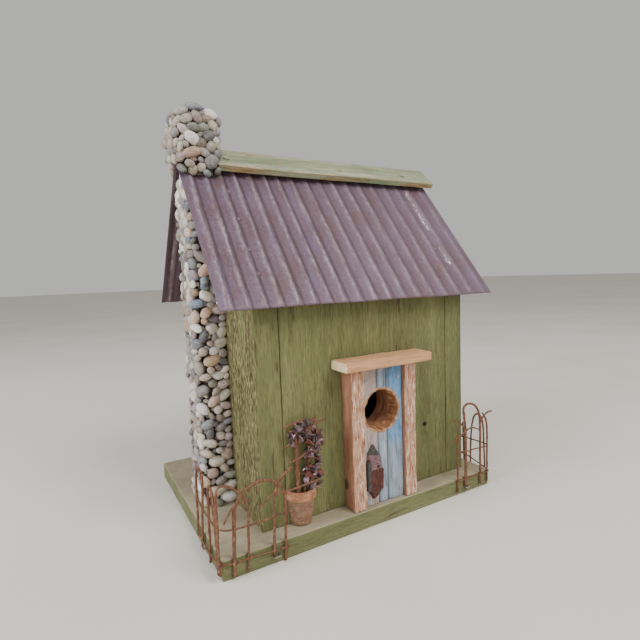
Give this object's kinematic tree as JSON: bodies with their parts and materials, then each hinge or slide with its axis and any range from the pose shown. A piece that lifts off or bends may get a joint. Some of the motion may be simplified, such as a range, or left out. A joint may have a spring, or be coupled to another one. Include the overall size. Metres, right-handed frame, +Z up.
{
  "type": "birdhouse",
  "caption": "Cottage birdhouse on a board with corrugated tin roof, pebbled chimney, framed door round the entrance hole, wire fences and a swinging clean-out cover",
  "frame": {"origin": "middle of the base board's underside", "axes": "+Z up, -Y towards the door side, +X to the house's right as seen from the front, away from the chimney"},
  "size_m": [0.294, 0.2185, 0.366],
  "materials": {
    "wall_paint": "olive green milk paint worn over rough-sawn grain",
    "base_paint": "weathered grey board with olive green paint left on its edges",
    "ridge_paint": "thin light green paint over an old board",
    "raw_wood": "fresh-cut unpainted softwood",
    "post_wood": "old reddish weathered wood with pale torn fibres",
    "door_paint": "sky blue and grey-white paint flaking off a grooved board",
    "roof_tin": "rusty purple-brown corrugated tin",
    "pebble": "rounded river pebbles in cream, grey, blue-grey and rust",
    "old_iron": "pitted rusty iron",
    "rusty_wire": "orange-brown rusted wire",
    "bright_steel": "bright zinc-plated steel",
    "clay": "dusty terracotta",
    "moss": "dark dried moss",
    "vine_leaf": "purple-brown rusted tin leaves"
  },
  "bodies": {
    "house": {"base_board": "base_paint", "left_gable": "wall_paint", "right_gable": "wall_paint", "front_wall": "wall_paint", "back_wall": "wall_paint", "front_tin": "roof_tin", "back_tin": "roof_tin", "front_ridge_board": "ridge_paint", "back_ridge_board": "ridge_paint", "chimney_core": "raw_wood", "stack_core": "raw_wood", "chimney_face_stones": "pebble", "chimney_side_stones": "pebble", "stack_stones": "pebble", "door_panel": "door_paint", "left_door_post": "post_wood", "right_door_post": "post_wood", "door_lintel": "raw_wood", "hinge_leaf": "old_iron", "hinge_pin": "old_iron", "hinge_nails": "old_iron", "panel_nails": "old_iron", "flower_pot": "clay", "pot_moss": "moss", "vine_stems": "rusty_wire", "vine_leaves": "vine_leaf", "left_fence_hoops": "rusty_wire", "left_fence_rails": "rusty_wire", "right_fence_hoops": "rusty_wire", "right_fence_rails": "rusty_wire", "fence_staples": "bright_steel", "roof_nails": "bright_steel", "ridge_nails": "bright_steel", "wall_nails": "bright_steel", "base_screws": "bright_steel", "cleanout_screw": "bright_steel", "cleanout_washer": "bright_steel"},
    "cleanout_door": {"cleanout_cover": "wall_paint"}
  },
  "joints": [
    {"name": "cleanout_swing", "type": "hinge", "parent": "house", "child": "cleanout_door", "pos_m": [0.0105, 0.0928, 0.11], "axis": [0, 1, 0], "continuous": true}
  ]
}
